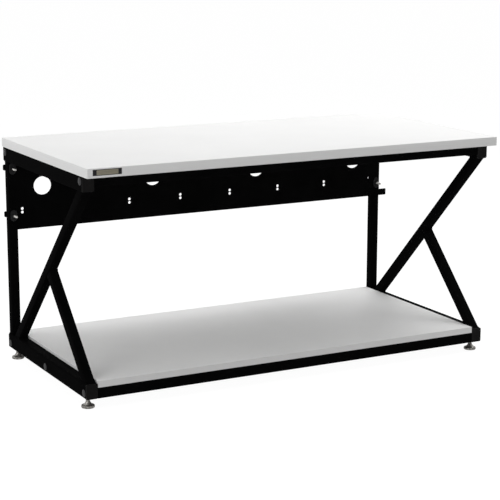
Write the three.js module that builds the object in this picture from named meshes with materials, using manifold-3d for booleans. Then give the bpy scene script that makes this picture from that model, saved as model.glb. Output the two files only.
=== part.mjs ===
// Assembly table: a laminated top and a shelf on two welded side frames with 45 degree braces,
// a perforated sheet panel clamped to the rear posts, and four levelling feet.
// Millimetres, +Z up, front towards -Y. While building, y = 0 is the top's front edge and z = 0 the floor.
import * as THREE from 'three';
import { mergeVertices } from 'three/addons/utils/BufferGeometryUtils.js';
import Module from 'manifold-3d';

const wasm = await Module();
wasm.setup();

// Top
const TABLE_HEIGHT = 776;
const TOP_WIDTH = 1524;
const TOP_DEPTH = 762;
const TOP_THICK = 30;
const TOP_CORNER_R = 4;
const TOP_BAND = 2;
const BAND_EDGE = 1;

// Side rails
const RAIL_WIDTH = 40;
const RAIL_HEIGHT = 50;
const RAIL_WALL = 2.5;
const RAIL_CORNER_R = 5;
const RAIL_SIDE_INSET = 4.5;
const RAIL_FRONT_INSET = 50;
const RAIL_REAR_INSET = 0;
const RAIL_OFF_FLOOR = 35;

// Rail end caps
const CAP_FLANGE = 4;
const CAP_EDGE = 2;
const CAP_INSERT = 6;

// Posts and braces
const POST_SIZE = 31;
const POST_WALL = 2;
const POST_CORNER_R = 3;
const BRACE_SIZE = 31;
const BRACE_WALL = 2;
const BRACE_CORNER_R = 3;
const BRACE_FRONT_SETBACK = 30;
const BRACE_REAR_SETBACK = 71;

// Cross beams
const BEAM_DEPTH = 40;
const BEAM_HEIGHT = 36;
const BEAM_WALL = 2;
const BEAM_CORNER_R = 3;

// Beam bolt cover plugs
const PLUG_R = 12.5;
const PLUG_RISE = 2.5;
const PLUG_RIM = 0.8;
const PLUG_HOLE_R = 10;
const PLUG_SPIGOT = 5;

// Shelf
const SHELF_THICK = 21;
const SHELF_REAR_INSET = 11;
const SHELF_BAND = 1.5;
const SHELF_SIDE_GAP = 0.5;

// Rear panel
const PANEL_SHEET = 2;
const PANEL_HEIGHT = 235;
const PANEL_TOP_GAP = 4;
const PANEL_SIDE_INSET = 1;
const PANEL_LIP = 15;
const PANEL_BEND_R = 4;
const PANEL_LIP_GAP = 4.5;
const CABLE_HOLE_R = 32;
const CABLE_HOLE_DROP = 87;
const CABLE_HOLE_PITCH = 420;
const CABLE_HOLE_MARGIN = 80;
const PAIR_HOLE_R = 5;
const PAIR_HOLE_RISE = 60.5;
const PAIR_HOLE_SPACING = 12.5;
const PAIR_HOLE_PITCH = 201.5;
const PAIR_HOLE_MARGIN = 30;

// Panel fasteners
const BOLT_R = 4;
const BOLT_REACH = 33;
const BOLT_HEAD = 5.5;
const BOLT_TIP = 1;
const HEX_FLATS = 13;
const BOLT_RISE = 51;
const BOLT_DROP = 20.5;
const NUT_HEIGHT = 6.5;
const NUT_PLATE_WIDTH = 23;
const NUT_PLATE_HEIGHT = 39;
const NUT_PLATE_THICK = 4;
const CLAMP_WIDTH = 41;
const CLAMP_HEIGHT = 20;
const CLAMP_THICK = 6;
const CLAMP_CORNER_R = 4;

// Side tab at the panel's lower right corner
const TAB_LAP = 62;
const TAB_REACH = 29;
const TAB_RISE = 1.5;
const TAB_HEIGHT = 24;
const TAB_THICK = 3;
const TAB_CORNER_R = 2;

// Levelling feet
const FOOT_SETBACK = 37;
const FOOT_R = 21.5;
const FOOT_RIM = 7;
const FOOT_DISH = 1.2;
const FOOT_HUB_R = 12.5;
const FOOT_NECK_R = 8;
const FOOT_NECK = 4;
const FOOT_HEIGHT = 20.4;
const FOOT_EDGE = 2;
const STEM_R = 5;
const STEM_BOTTOM_Z = 12;
const STEM_TOP_Z = 68;
const STEM_HEX_HEIGHT = 6.3;
const WELD_NUT_FLATS = 17;
const WELD_NUT_HEIGHT = 9;

// Clearances
const GAP = 0.3;
const WELD_GAP = 0.2;
const FUSE = 1;

// Places that follow from the sizes above
const TOP_UNDERSIDE = TABLE_HEIGHT - TOP_THICK;
const RAIL_CENTRE_X = TOP_WIDTH / 2 - RAIL_SIDE_INSET - RAIL_WIDTH / 2;
const RAIL_FRONT_Y = RAIL_FRONT_INSET;
const RAIL_REAR_Y = TOP_DEPTH - RAIL_REAR_INSET;
const UPPER_RAIL_Z = TOP_UNDERSIDE - RAIL_HEIGHT / 2;
const LOWER_RAIL_Z = RAIL_OFF_FLOOR + RAIL_HEIGHT / 2;
const FRAME_LOW = RAIL_OFF_FLOOR + RAIL_HEIGHT;
const FRAME_HIGH = TOP_UNDERSIDE - RAIL_HEIGHT;
const FRAME_RISE = FRAME_HIGH - FRAME_LOW;
const UPPER_BEAM_Z = TOP_UNDERSIDE - BEAM_HEIGHT / 2;
const LOWER_BEAM_Z = RAIL_OFF_FLOOR + BEAM_HEIGHT / 2;
const BEAM_FRONT_Y = RAIL_FRONT_Y + BEAM_DEPTH / 2;
const BEAM_REAR_Y = RAIL_REAR_Y - BEAM_DEPTH / 2;
const BEAM_MIDDLE_Y = (BEAM_FRONT_Y + BEAM_REAR_Y) / 2;
const RAIL_INNER_X = RAIL_CENTRE_X - RAIL_WIDTH / 2;
const SHELF_LOW = RAIL_OFF_FLOOR + BEAM_HEIGHT;
const SHELF_REAR_Y = RAIL_REAR_Y - SHELF_REAR_INSET;
const POST_REAR_Y = RAIL_REAR_Y;
const POST_FRONT_Y = POST_REAR_Y - POST_SIZE;
const POST_CENTRE_Y = (POST_FRONT_Y + POST_REAR_Y) / 2;
const BRACE_FRONT_Y = RAIL_FRONT_Y + BRACE_FRONT_SETBACK;
const BRACE_REAR_Y = RAIL_REAR_Y - BRACE_REAR_SETBACK;
const PANEL_FRONT_Y = POST_FRONT_Y - PANEL_SHEET;
const PANEL_TOP_Z = FRAME_HIGH - PANEL_TOP_GAP;
const PANEL_BOTTOM_Z = PANEL_TOP_Z - PANEL_HEIGHT;
const PANEL_HALF_WIDTH = RAIL_CENTRE_X + POST_SIZE / 2 - PANEL_SIDE_INSET;
const PANEL_LIP_HALF_WIDTH = RAIL_CENTRE_X - POST_SIZE / 2 - PANEL_LIP_GAP;
const CABLE_HOLE_Z = PANEL_TOP_Z - CABLE_HOLE_DROP;
const PAIR_HOLE_Z = [PANEL_BOTTOM_Z + PAIR_HOLE_RISE, PANEL_BOTTOM_Z + PAIR_HOLE_RISE + PAIR_HOLE_SPACING];
const TAB_RIGHT_X = PANEL_HALF_WIDTH + TAB_REACH;
const CLAMP_REAR_Y = POST_REAR_Y + CLAMP_THICK;
const REAR_Y = CLAMP_REAR_Y + BOLT_HEAD;
const FOOT_Y = { front: RAIL_FRONT_Y + FOOT_SETBACK, rear: RAIL_REAR_Y - FOOT_SETBACK };
const SIDES = { left: -1, right: 1 };
const BOLT_LEVELS = { lower: PANEL_BOTTOM_Z + BOLT_RISE, upper: PANEL_TOP_Z - BOLT_DROP };
const BOLT_Z = Object.values(BOLT_LEVELS);
const UPPER_BEAMS = { front: BEAM_FRONT_Y, rear: BEAM_REAR_Y };
const LOWER_BEAMS = { front: BEAM_FRONT_Y, middle: BEAM_MIDDLE_Y, rear: BEAM_REAR_Y };

// Materials
const material = (color, roughness, metalness) =>
  new THREE.MeshStandardMaterial({ color, roughness, metalness });
const LAMINATE = material(0xf2f2f0, 0.45, 0);
const BAND = material(0xe6e6e4, 0.5, 0);
const POWDER_COAT = material(0x0c0c0d, 0.5, 0);
const MOULDED = material(0x1b1b1c, 0.6, 0);
const PLUG_GREY = material(0x4a4a4c, 0.55, 0);
const ZINC = material(0xc4c6c8, 0.35, 1);

const table = new THREE.Group();
table.name = 'assembly_table';

// Turns a three.js geometry into a closed solid, without its zero-area triangles.
function solid(geometry) {
  geometry.deleteAttribute('normal');
  geometry.deleteAttribute('uv');
  const merged = mergeVertices(geometry, 1e-4);
  const source = merged.index.array;
  const triangles = [];
  for (let i = 0; i < source.length; i += 3) {
    const [a, b, c] = [source[i], source[i + 1], source[i + 2]];
    if (a !== b && b !== c && c !== a) {
      triangles.push(a, b, c);
    }
  }
  const vertProperties = new Float32Array(merged.attributes.position.array);
  const triVerts = new Uint32Array(triangles);
  return new wasm.Manifold(new wasm.Mesh({ numProp: 3, vertProperties, triVerts }));
}

function add(name, body, look) {
  const result = body.getMesh();
  const geometry = new THREE.BufferGeometry();
  geometry.setAttribute('position', new THREE.BufferAttribute(result.vertProperties, result.numProp));
  geometry.setIndex(new THREE.BufferAttribute(result.triVerts, 1));
  geometry.computeVertexNormals();
  const mesh = new THREE.Mesh(geometry, look);
  mesh.name = name;
  table.add(mesh);
}

// Outlines

function arc(points, cx, cy, r, from, to, steps) {
  for (let i = 0; i <= steps; i += 1) {
    const t = THREE.MathUtils.degToRad(from + ((to - from) * i) / steps);
    points.push(new THREE.Vector2(cx + r * Math.cos(t), cy + r * Math.sin(t)));
  }
}

function roundedRectangle(cx, cy, width, height, r, steps = 4) {
  const points = [];
  const x = width / 2 - r;
  const y = height / 2 - r;
  arc(points, cx + x, cy + y, r, 0, 90, steps);
  arc(points, cx - x, cy + y, r, 90, 180, steps);
  arc(points, cx - x, cy - y, r, 180, 270, steps);
  arc(points, cx + x, cy - y, r, 270, 360, steps);
  return points;
}

function hexagon(cx, cy, flats) {
  const points = [];
  const r = flats / Math.sqrt(3);
  for (let i = 0; i < 6; i += 1) {
    const t = THREE.MathUtils.degToRad(30 + 60 * i);
    points.push(new THREE.Vector2(cx + r * Math.cos(t), cy + r * Math.sin(t)));
  }
  return points;
}

function tubeOutline(cx, cy, width, height, r, wall) {
  const shape = new THREE.Shape(roundedRectangle(cx, cy, width, height, r));
  const inside = roundedRectangle(cx, cy, width - 2 * wall, height - 2 * wall, Math.max(r - wall, 1), 3);
  shape.holes.push(new THREE.Path(inside));
  return shape;
}

const outline = (points) => new THREE.Shape(points);

// Extrusions along each axis. Along X the outline is (y, z), along Y it is (x, z), along Z it is (x, y).

function extrude(shape, depth, edge = 0) {
  return new THREE.ExtrudeGeometry(shape, {
    depth: depth - 2 * edge,
    steps: 1,
    bevelEnabled: edge > 0,
    bevelThickness: edge,
    bevelSize: edge,
    bevelOffset: -edge,
    bevelSegments: 2,
  }).translate(0, 0, edge);
}

function alongX(shape, from, to) {
  const turn = new THREE.Matrix4().makeBasis(
    new THREE.Vector3(0, 1, 0),
    new THREE.Vector3(0, 0, 1),
    new THREE.Vector3(1, 0, 0),
  );
  return solid(extrude(shape, to - from).applyMatrix4(turn).translate(from, 0, 0));
}

function alongY(shape, from, to, edge = 0) {
  return solid(extrude(shape, to - from, edge).rotateX(Math.PI / 2).translate(0, to, 0));
}

function alongZ(shape, from, to, edge = 0) {
  return solid(extrude(shape, to - from, edge).translate(0, 0, from));
}

function box(x0, x1, y0, y1, z0, z1) {
  const geometry = new THREE.BoxGeometry(x1 - x0, y1 - y0, z1 - z0);
  return solid(geometry.translate((x0 + x1) / 2, (y0 + y1) / 2, (z0 + z1) / 2));
}

function rodX(r, from, to, y, z, sides = 24) {
  const geometry = new THREE.CylinderGeometry(r, r, to - from, sides).rotateZ(Math.PI / 2);
  return solid(geometry.translate((from + to) / 2, y, z));
}

function rodY(r, from, to, x, z, sides = 12) {
  const geometry = new THREE.CylinderGeometry(r, r, to - from, sides);
  return solid(geometry.translate(x, (from + to) / 2, z));
}

function rodZ(r, from, to, x, y, sides = 16) {
  const geometry = new THREE.CylinderGeometry(r, r, to - from, sides).rotateX(Math.PI / 2);
  return solid(geometry.translate(x, y, (from + to) / 2));
}

// A turned body with a closed profile of (radius, height) pairs, standing on Z.
function turned(profile, sides) {
  const points = profile.map(([r, h]) => new THREE.Vector2(r, h));
  return new THREE.LatheGeometry(points, sides).rotateX(Math.PI / 2);
}

// Top

function addTop() {
  const y = TOP_DEPTH / 2;
  const width = TOP_WIDTH - 2 * TOP_BAND;
  const depth = TOP_DEPTH - 2 * TOP_BAND;
  const core = outline(roundedRectangle(0, y, width, depth, TOP_CORNER_R - TOP_BAND));
  const full = outline(roundedRectangle(0, y, TOP_WIDTH, TOP_DEPTH, TOP_CORNER_R));
  const board = alongZ(core, TOP_UNDERSIDE, TABLE_HEIGHT);
  const window = alongZ(core, TOP_UNDERSIDE - FUSE, TABLE_HEIGHT + FUSE);
  const band = alongZ(full, TOP_UNDERSIDE, TABLE_HEIGHT, BAND_EDGE).subtract(window);
  add('tabletop_board', board, LAMINATE);
  add('tabletop_edge_band', band, BAND);
}

// Side frames

function rail(side, z, beams) {
  const shape = tubeOutline(side * RAIL_CENTRE_X, z, RAIL_WIDTH, RAIL_HEIGHT, RAIL_CORNER_R, RAIL_WALL);
  let tube = alongY(shape, RAIL_FRONT_Y + CAP_FLANGE, RAIL_REAR_Y - CAP_FLANGE);
  const outer = side * (RAIL_CENTRE_X + RAIL_WIDTH / 2);
  const from = Math.min(outer - side * (RAIL_WALL + FUSE), outer + side * FUSE);
  const to = Math.max(outer - side * (RAIL_WALL + FUSE), outer + side * FUSE);
  for (const [y, beamZ] of beams) {
    tube = tube.subtract(rodX(PLUG_HOLE_R, from, to, y, beamZ));
  }
  return tube;
}

// The lower rail has a weld nut over each foot's hole.
function lowerRail(side) {
  const beams = Object.values(LOWER_BEAMS).map((y) => [y, LOWER_BEAM_Z]);
  let tube = rail(side, LOWER_RAIL_Z, beams);
  const x = side * RAIL_CENTRE_X;
  const floor = RAIL_OFF_FLOOR + RAIL_WALL;
  for (const y of Object.values(FOOT_Y)) {
    const nut = alongZ(outline(hexagon(x, y, WELD_NUT_FLATS)), floor - FUSE, floor + WELD_NUT_HEIGHT);
    const bore = rodZ(STEM_R + GAP, RAIL_OFF_FLOOR - FUSE, floor + WELD_NUT_HEIGHT + FUSE, x, y);
    tube = tube.add(nut).subtract(bore);
  }
  return tube;
}

function post(side) {
  const x = side * RAIL_CENTRE_X;
  const shape = tubeOutline(x, POST_CENTRE_Y, POST_SIZE, POST_SIZE, POST_CORNER_R, POST_WALL);
  let tube = alongZ(shape, FRAME_LOW, FRAME_HIGH);
  for (const z of BOLT_Z) {
    tube = tube.subtract(rodY(BOLT_R + GAP, POST_FRONT_Y - FUSE, POST_REAR_Y + FUSE, x, z));
  }
  return tube;
}

// A brace tube between two points (y, z) of its centreline, running on past both of them.
function braceTube(side, from, to) {
  const shape = tubeOutline(0, 0, BRACE_SIZE, BRACE_SIZE, BRACE_CORNER_R, BRACE_WALL);
  const run = new THREE.Vector2().subVectors(to, from);
  const over = 2 * BRACE_SIZE;
  const tube = extrude(shape, run.length() + 2 * over).translate(0, 0, -over);
  tube.rotateX(Math.atan2(-run.x, run.y));
  return solid(tube.translate(side * RAIL_CENTRE_X, from.x, from.y));
}

// Keeps what lies between the rails.
function betweenRails(tube) {
  return tube.intersect(box(-TOP_WIDTH, TOP_WIDTH, -TOP_DEPTH, 2 * TOP_DEPTH, FRAME_LOW, FRAME_HIGH));
}

const BRACE_HIGH_END = new THREE.Vector2(BRACE_FRONT_Y, FRAME_HIGH);
const BRACE_LOW_END = new THREE.Vector2(BRACE_REAR_Y, FRAME_LOW);
const BRACE_MIDDLE = new THREE.Vector2().addVectors(BRACE_HIGH_END, BRACE_LOW_END).divideScalar(2);
const SHORT_BRACE_END = new THREE.Vector2(BRACE_FRONT_Y, FRAME_LOW);

function longBrace(side) {
  return betweenRails(braceTube(side, BRACE_HIGH_END, BRACE_LOW_END));
}

// The short brace stops a weld gap short of the long brace's lower face.
function shortBrace(side) {
  const slope = new THREE.Vector2().subVectors(BRACE_LOW_END, BRACE_HIGH_END);
  const reach = slope.length();
  const keepOut = new THREE.BoxGeometry(2 * BRACE_SIZE, reach, 2 * reach);
  keepOut.translate(0, reach / 2 - BRACE_SIZE / 2 - WELD_GAP, 0);
  keepOut.rotateX(Math.atan2(slope.x, -slope.y));
  keepOut.translate(side * RAIL_CENTRE_X, BRACE_MIDDLE.x, BRACE_MIDDLE.y);
  return betweenRails(braceTube(side, BRACE_MIDDLE, SHORT_BRACE_END)).subtract(solid(keepOut));
}

// One end cap: a rounded flange and an insert that fits inside the tube. It faces the front or the rear.
function endCap(side, z, end) {
  const x = side * RAIL_CENTRE_X;
  const face = end === 'front' ? RAIL_FRONT_Y : RAIL_REAR_Y;
  const inwards = end === 'front' ? 1 : -1;
  const span = (depth) => [face, face + inwards * depth].sort((a, b) => a - b);
  const flangeShape = outline(roundedRectangle(x, z, RAIL_WIDTH, RAIL_HEIGHT, RAIL_CORNER_R, 3));
  const keep = span(CAP_FLANGE);
  const flange = alongY(flangeShape, ...span(2 * CAP_FLANGE), CAP_EDGE)
    .intersect(box(x - RAIL_WIDTH, x + RAIL_WIDTH, ...keep, z - RAIL_HEIGHT, z + RAIL_HEIGHT));
  const width = RAIL_WIDTH - 2 * RAIL_WALL - 2 * GAP;
  const height = RAIL_HEIGHT - 2 * RAIL_WALL - 2 * GAP;
  const insertShape = outline(roundedRectangle(x, z, width, height, RAIL_CORNER_R - RAIL_WALL, 3));
  const [a, b] = span(CAP_FLANGE + CAP_INSERT);
  const start = end === 'front' ? a + CAP_FLANGE - FUSE : a;
  const stop = end === 'front' ? b : b - CAP_FLANGE + FUSE;
  return flange.add(alongY(insertShape, start, stop));
}

// A low domed cover with a spigot, seated on the rail's outer face.
function coverPlug(side, y, z) {
  const spigot = PLUG_HOLE_R - GAP;
  const profile = [
    [0, -PLUG_SPIGOT],
    [spigot, -PLUG_SPIGOT],
    [spigot, 0],
    [PLUG_R, 0],
    [PLUG_R, PLUG_RIM],
    [PLUG_R - 1.2, PLUG_RIM + 1],
    [PLUG_R / 2, PLUG_RISE - 0.2],
    [0, PLUG_RISE],
  ];
  const outer = side * (RAIL_CENTRE_X + RAIL_WIDTH / 2);
  return solid(turned(profile, 22).rotateY((side * Math.PI) / 2).translate(outer, y, z));
}

function addSideFrame(label, side) {
  const upper = Object.values(UPPER_BEAMS).map((y) => [y, UPPER_BEAM_Z]);
  add(`${label}_top_rail`, rail(side, UPPER_RAIL_Z, upper), POWDER_COAT);
  add(`${label}_bottom_rail`, lowerRail(side), POWDER_COAT);
  add(`${label}_rear_post`, post(side), POWDER_COAT);
  add(`${label}_long_brace`, longBrace(side), POWDER_COAT);
  add(`${label}_short_brace`, shortBrace(side), POWDER_COAT);
  for (const end of ['front', 'rear']) {
    add(`${label}_top_cap_${end}`, endCap(side, UPPER_RAIL_Z, end), MOULDED);
    add(`${label}_bottom_cap_${end}`, endCap(side, LOWER_RAIL_Z, end), MOULDED);
  }
  for (const [end, y] of Object.entries(UPPER_BEAMS)) {
    add(`${label}_top_plug_${end}`, coverPlug(side, y, UPPER_BEAM_Z), PLUG_GREY);
  }
  for (const [end, y] of Object.entries(LOWER_BEAMS)) {
    add(`${label}_bottom_plug_${end}`, coverPlug(side, y, LOWER_BEAM_Z), PLUG_GREY);
  }
}

// Cross beams and shelf

function beam(y, z) {
  const shape = tubeOutline(y, z, BEAM_DEPTH, BEAM_HEIGHT, BEAM_CORNER_R, BEAM_WALL);
  return alongX(shape, -RAIL_INNER_X, RAIL_INNER_X);
}

function addBeams() {
  for (const [end, y] of Object.entries(UPPER_BEAMS)) {
    add(`top_beam_${end}`, beam(y, UPPER_BEAM_Z), POWDER_COAT);
  }
  for (const [end, y] of Object.entries(LOWER_BEAMS)) {
    add(`bottom_beam_${end}`, beam(y, LOWER_BEAM_Z), POWDER_COAT);
  }
}

function addShelf() {
  const half = RAIL_INNER_X - SHELF_SIDE_GAP;
  const front = RAIL_FRONT_Y + SHELF_BAND;
  const high = SHELF_LOW + SHELF_THICK;
  add('shelf_board', box(-half, half, front, SHELF_REAR_Y, SHELF_LOW, high), LAMINATE);
  add('shelf_edge_band', box(-half, half, RAIL_FRONT_Y, front, SHELF_LOW, high), BAND);
}

// Rear panel and its fasteners

function panelProfile() {
  const y = PANEL_FRONT_Y + PANEL_BEND_R;
  const low = PANEL_BOTTOM_Z + PANEL_BEND_R;
  const high = PANEL_TOP_Z - PANEL_BEND_R;
  const lipEnd = POST_FRONT_Y + PANEL_LIP;
  const inner = PANEL_BEND_R - PANEL_SHEET;
  const points = [new THREE.Vector2(lipEnd, PANEL_BOTTOM_Z)];
  arc(points, y, low, PANEL_BEND_R, 270, 180, 4);
  arc(points, y, high, PANEL_BEND_R, 180, 90, 4);
  points.push(new THREE.Vector2(lipEnd, PANEL_TOP_Z));
  points.push(new THREE.Vector2(lipEnd, PANEL_TOP_Z - PANEL_SHEET));
  arc(points, y, high, inner, 90, 180, 4);
  arc(points, y, low, inner, 180, 270, 4);
  points.push(new THREE.Vector2(lipEnd, PANEL_BOTTOM_Z + PANEL_SHEET));
  return outline(points);
}

// Places along the panel at a pitch, as many as fit between its margins, about its middle.
function row(pitch, margin) {
  const count = Math.floor((2 * (PANEL_HALF_WIDTH - margin)) / pitch) + 1;
  return Array.from({ length: count }, (_, i) => (i - (count - 1) / 2) * pitch);
}

function panel() {
  const from = PANEL_FRONT_Y - FUSE;
  const to = POST_FRONT_Y + FUSE;
  let sheet = alongX(panelProfile(), -PANEL_HALF_WIDTH, PANEL_HALF_WIDTH);
  for (const side of Object.values(SIDES)) {
    const ends = [side * PANEL_LIP_HALF_WIDTH, side * (PANEL_HALF_WIDTH + FUSE)].sort((a, b) => a - b);
    const relief = box(...ends, POST_FRONT_Y, POST_REAR_Y, PANEL_BOTTOM_Z - FUSE, PANEL_TOP_Z + FUSE);
    sheet = sheet.subtract(relief);
    for (const z of BOLT_Z) {
      sheet = sheet.subtract(rodY(BOLT_R + GAP, from, to, side * RAIL_CENTRE_X, z));
    }
  }
  for (const x of row(CABLE_HOLE_PITCH, CABLE_HOLE_MARGIN)) {
    sheet = sheet.subtract(rodY(CABLE_HOLE_R, from, to, x, CABLE_HOLE_Z, 36));
  }
  for (const x of row(PAIR_HOLE_PITCH, PAIR_HOLE_MARGIN)) {
    for (const z of PAIR_HOLE_Z) {
      sheet = sheet.subtract(rodY(PAIR_HOLE_R, from, to, x, z, 14));
    }
  }
  return sheet;
}

function panelBolt(x, z) {
  const head = alongY(outline(hexagon(x, z, HEX_FLATS)), CLAMP_REAR_Y, REAR_Y);
  const length = CLAMP_REAR_Y + FUSE - (PANEL_FRONT_Y - BOLT_REACH);
  const profile = [[0, 0], [BOLT_R - BOLT_TIP, 0], [BOLT_R, BOLT_TIP], [BOLT_R, length], [0, length]];
  const shank = turned(profile, 16).rotateX(-Math.PI / 2);
  return head.add(solid(shank.translate(x, PANEL_FRONT_Y - BOLT_REACH, z)));
}

function nutPlate(x, z) {
  const shape = outline(roundedRectangle(x, z, NUT_PLATE_WIDTH, NUT_PLATE_HEIGHT, NUT_PLATE_WIDTH / 2, 6));
  const front = PANEL_FRONT_Y - NUT_PLATE_THICK;
  const nut = alongY(outline(hexagon(x, z, HEX_FLATS)), front - NUT_HEIGHT, front + FUSE);
  const bore = rodY(BOLT_R + GAP, front - NUT_HEIGHT - FUSE, PANEL_FRONT_Y + FUSE, x, z);
  return alongY(shape, front, PANEL_FRONT_Y).add(nut).subtract(bore);
}

function clampBar(x, z) {
  const shape = outline(roundedRectangle(x, z, CLAMP_WIDTH, CLAMP_HEIGHT, CLAMP_CORNER_R));
  const bore = rodY(BOLT_R + GAP, POST_REAR_Y - FUSE, CLAMP_REAR_Y + FUSE, x, z);
  return alongY(shape, POST_REAR_Y, CLAMP_REAR_Y).subtract(bore);
}

function sideTab() {
  const x = TAB_RIGHT_X - (TAB_LAP + TAB_REACH) / 2;
  const z = PANEL_BOTTOM_Z + TAB_RISE + TAB_HEIGHT / 2;
  const shape = outline(roundedRectangle(x, z, TAB_LAP + TAB_REACH, TAB_HEIGHT, TAB_CORNER_R));
  return alongY(shape, PANEL_FRONT_Y - TAB_THICK, PANEL_FRONT_Y);
}

function addPanel() {
  add('rear_panel', panel(), POWDER_COAT);
  add('side_tab', sideTab(), POWDER_COAT);
  for (const [label, side] of Object.entries(SIDES)) {
    for (const [level, z] of Object.entries(BOLT_LEVELS)) {
      add(`${label}_panel_bolt_${level}`, panelBolt(side * RAIL_CENTRE_X, z), ZINC);
      add(`${label}_nut_plate_${level}`, nutPlate(side * RAIL_CENTRE_X, z), PLUG_GREY);
      add(`${label}_clamp_bar_${level}`, clampBar(side * RAIL_CENTRE_X, z), POWDER_COAT);
    }
  }
}

// Levelling feet

function footBase(x, y) {
  const socket = STEM_R + GAP;
  const profile = [
    [0, 0],
    [FOOT_R - FOOT_EDGE, 0],
    [FOOT_R, FOOT_EDGE],
    [FOOT_R, FOOT_RIM - FOOT_EDGE],
    [FOOT_R - FOOT_EDGE, FOOT_RIM],
    [FOOT_HUB_R, FOOT_RIM + FOOT_DISH],
    [FOOT_NECK_R, FOOT_HEIGHT - FOOT_NECK],
    [FOOT_NECK_R, FOOT_HEIGHT],
    [socket, FOOT_HEIGHT],
    [socket, STEM_BOTTOM_Z - GAP],
    [0, STEM_BOTTOM_Z - GAP],
  ];
  return solid(turned(profile, 24).translate(x, y, 0));
}

function footStem(x, y) {
  const profile = [
    [0, STEM_BOTTOM_Z],
    [STEM_R - 1, STEM_BOTTOM_Z],
    [STEM_R, STEM_BOTTOM_Z + 1],
    [STEM_R, STEM_TOP_Z - 1],
    [STEM_R - 1, STEM_TOP_Z],
    [0, STEM_TOP_Z],
  ];
  const low = FOOT_HEIGHT + GAP;
  const hex = alongZ(outline(hexagon(x, y, HEX_FLATS)), low, low + STEM_HEX_HEIGHT);
  return hex.add(solid(turned(profile, 16).translate(x, y, 0)));
}

function addFeet() {
  for (const [label, side] of Object.entries(SIDES)) {
    for (const [end, y] of Object.entries(FOOT_Y)) {
      add(`${label}_foot_base_${end}`, footBase(side * RAIL_CENTRE_X, y), ZINC);
      add(`${label}_foot_stem_${end}`, footStem(side * RAIL_CENTRE_X, y), ZINC);
    }
  }
}

addTop();
for (const [label, side] of Object.entries(SIDES)) {
  addSideFrame(label, side);
}
addBeams();
addShelf();
addPanel();
addFeet();

// The origin is the middle of the whole table's outline, at the floor.
const middleX = (TAB_RIGHT_X - TOP_WIDTH / 2) / 2;
const middleY = REAR_Y / 2;
for (const mesh of table.children) {
  mesh.geometry.translate(-middleX, -middleY, 0);
}

export default table;
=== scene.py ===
"""Assembly table: finishes, mouldings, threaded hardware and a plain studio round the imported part."""

import math

import bmesh
import bpy
from mathutils import Matrix, Vector


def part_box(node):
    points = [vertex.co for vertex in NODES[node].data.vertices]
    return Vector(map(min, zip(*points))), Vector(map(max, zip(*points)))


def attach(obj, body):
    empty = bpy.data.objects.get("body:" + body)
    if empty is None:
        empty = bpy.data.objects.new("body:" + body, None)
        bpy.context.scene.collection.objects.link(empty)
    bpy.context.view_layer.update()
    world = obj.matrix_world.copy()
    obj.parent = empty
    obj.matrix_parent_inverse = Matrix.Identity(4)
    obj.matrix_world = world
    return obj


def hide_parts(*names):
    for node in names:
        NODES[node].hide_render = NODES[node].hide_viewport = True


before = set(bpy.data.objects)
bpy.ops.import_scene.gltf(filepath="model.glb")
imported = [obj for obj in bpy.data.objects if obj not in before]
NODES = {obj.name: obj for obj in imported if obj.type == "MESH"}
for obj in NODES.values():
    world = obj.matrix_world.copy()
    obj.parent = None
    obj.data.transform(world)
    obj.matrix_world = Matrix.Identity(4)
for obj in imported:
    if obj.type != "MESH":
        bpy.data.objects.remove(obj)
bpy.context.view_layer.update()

bl_info = {
    "name": "Assembly Table",
    "version": (1, 0, 0),
    "blender": (4, 5, 0),
    "location": "View3D > Sidebar > Table",
    "description": "Dresses a packed assembly table with its finishes, fittings and hardware",
    "category": "Object",
}

MM = 0.001
SIDES = ("left", "right")
ENDS = ("front", "rear")
LEVELS = ("lower", "upper")

# Tolerances: how square faces and edges lie, how near points are, how flat two faces meet
SQUARE = 0.999
NEAR = 1e-6
NODE_MERGE = 2e-6
THREAD_MERGE = 1e-7
THREAD_CUT = 1e-8
FLAT_ANGLE = math.radians(0.5)

# Screw threads: flats and start as shares of the pitch, and the steps of one turn
THREAD_FLAT = 0.08
THREAD_START = 1.001
THREAD_STEPS = 24

# Hexagons: the face inside the chamfer, the chamfer, and how far the turned blank stands clear
HEX_FACE = 0.95
HEX_CHAMFER = math.radians(30)
HEX_BLANK = 1.1
HEX_CLEAR = 1.5


# Sizes and colours that a user would change


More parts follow.
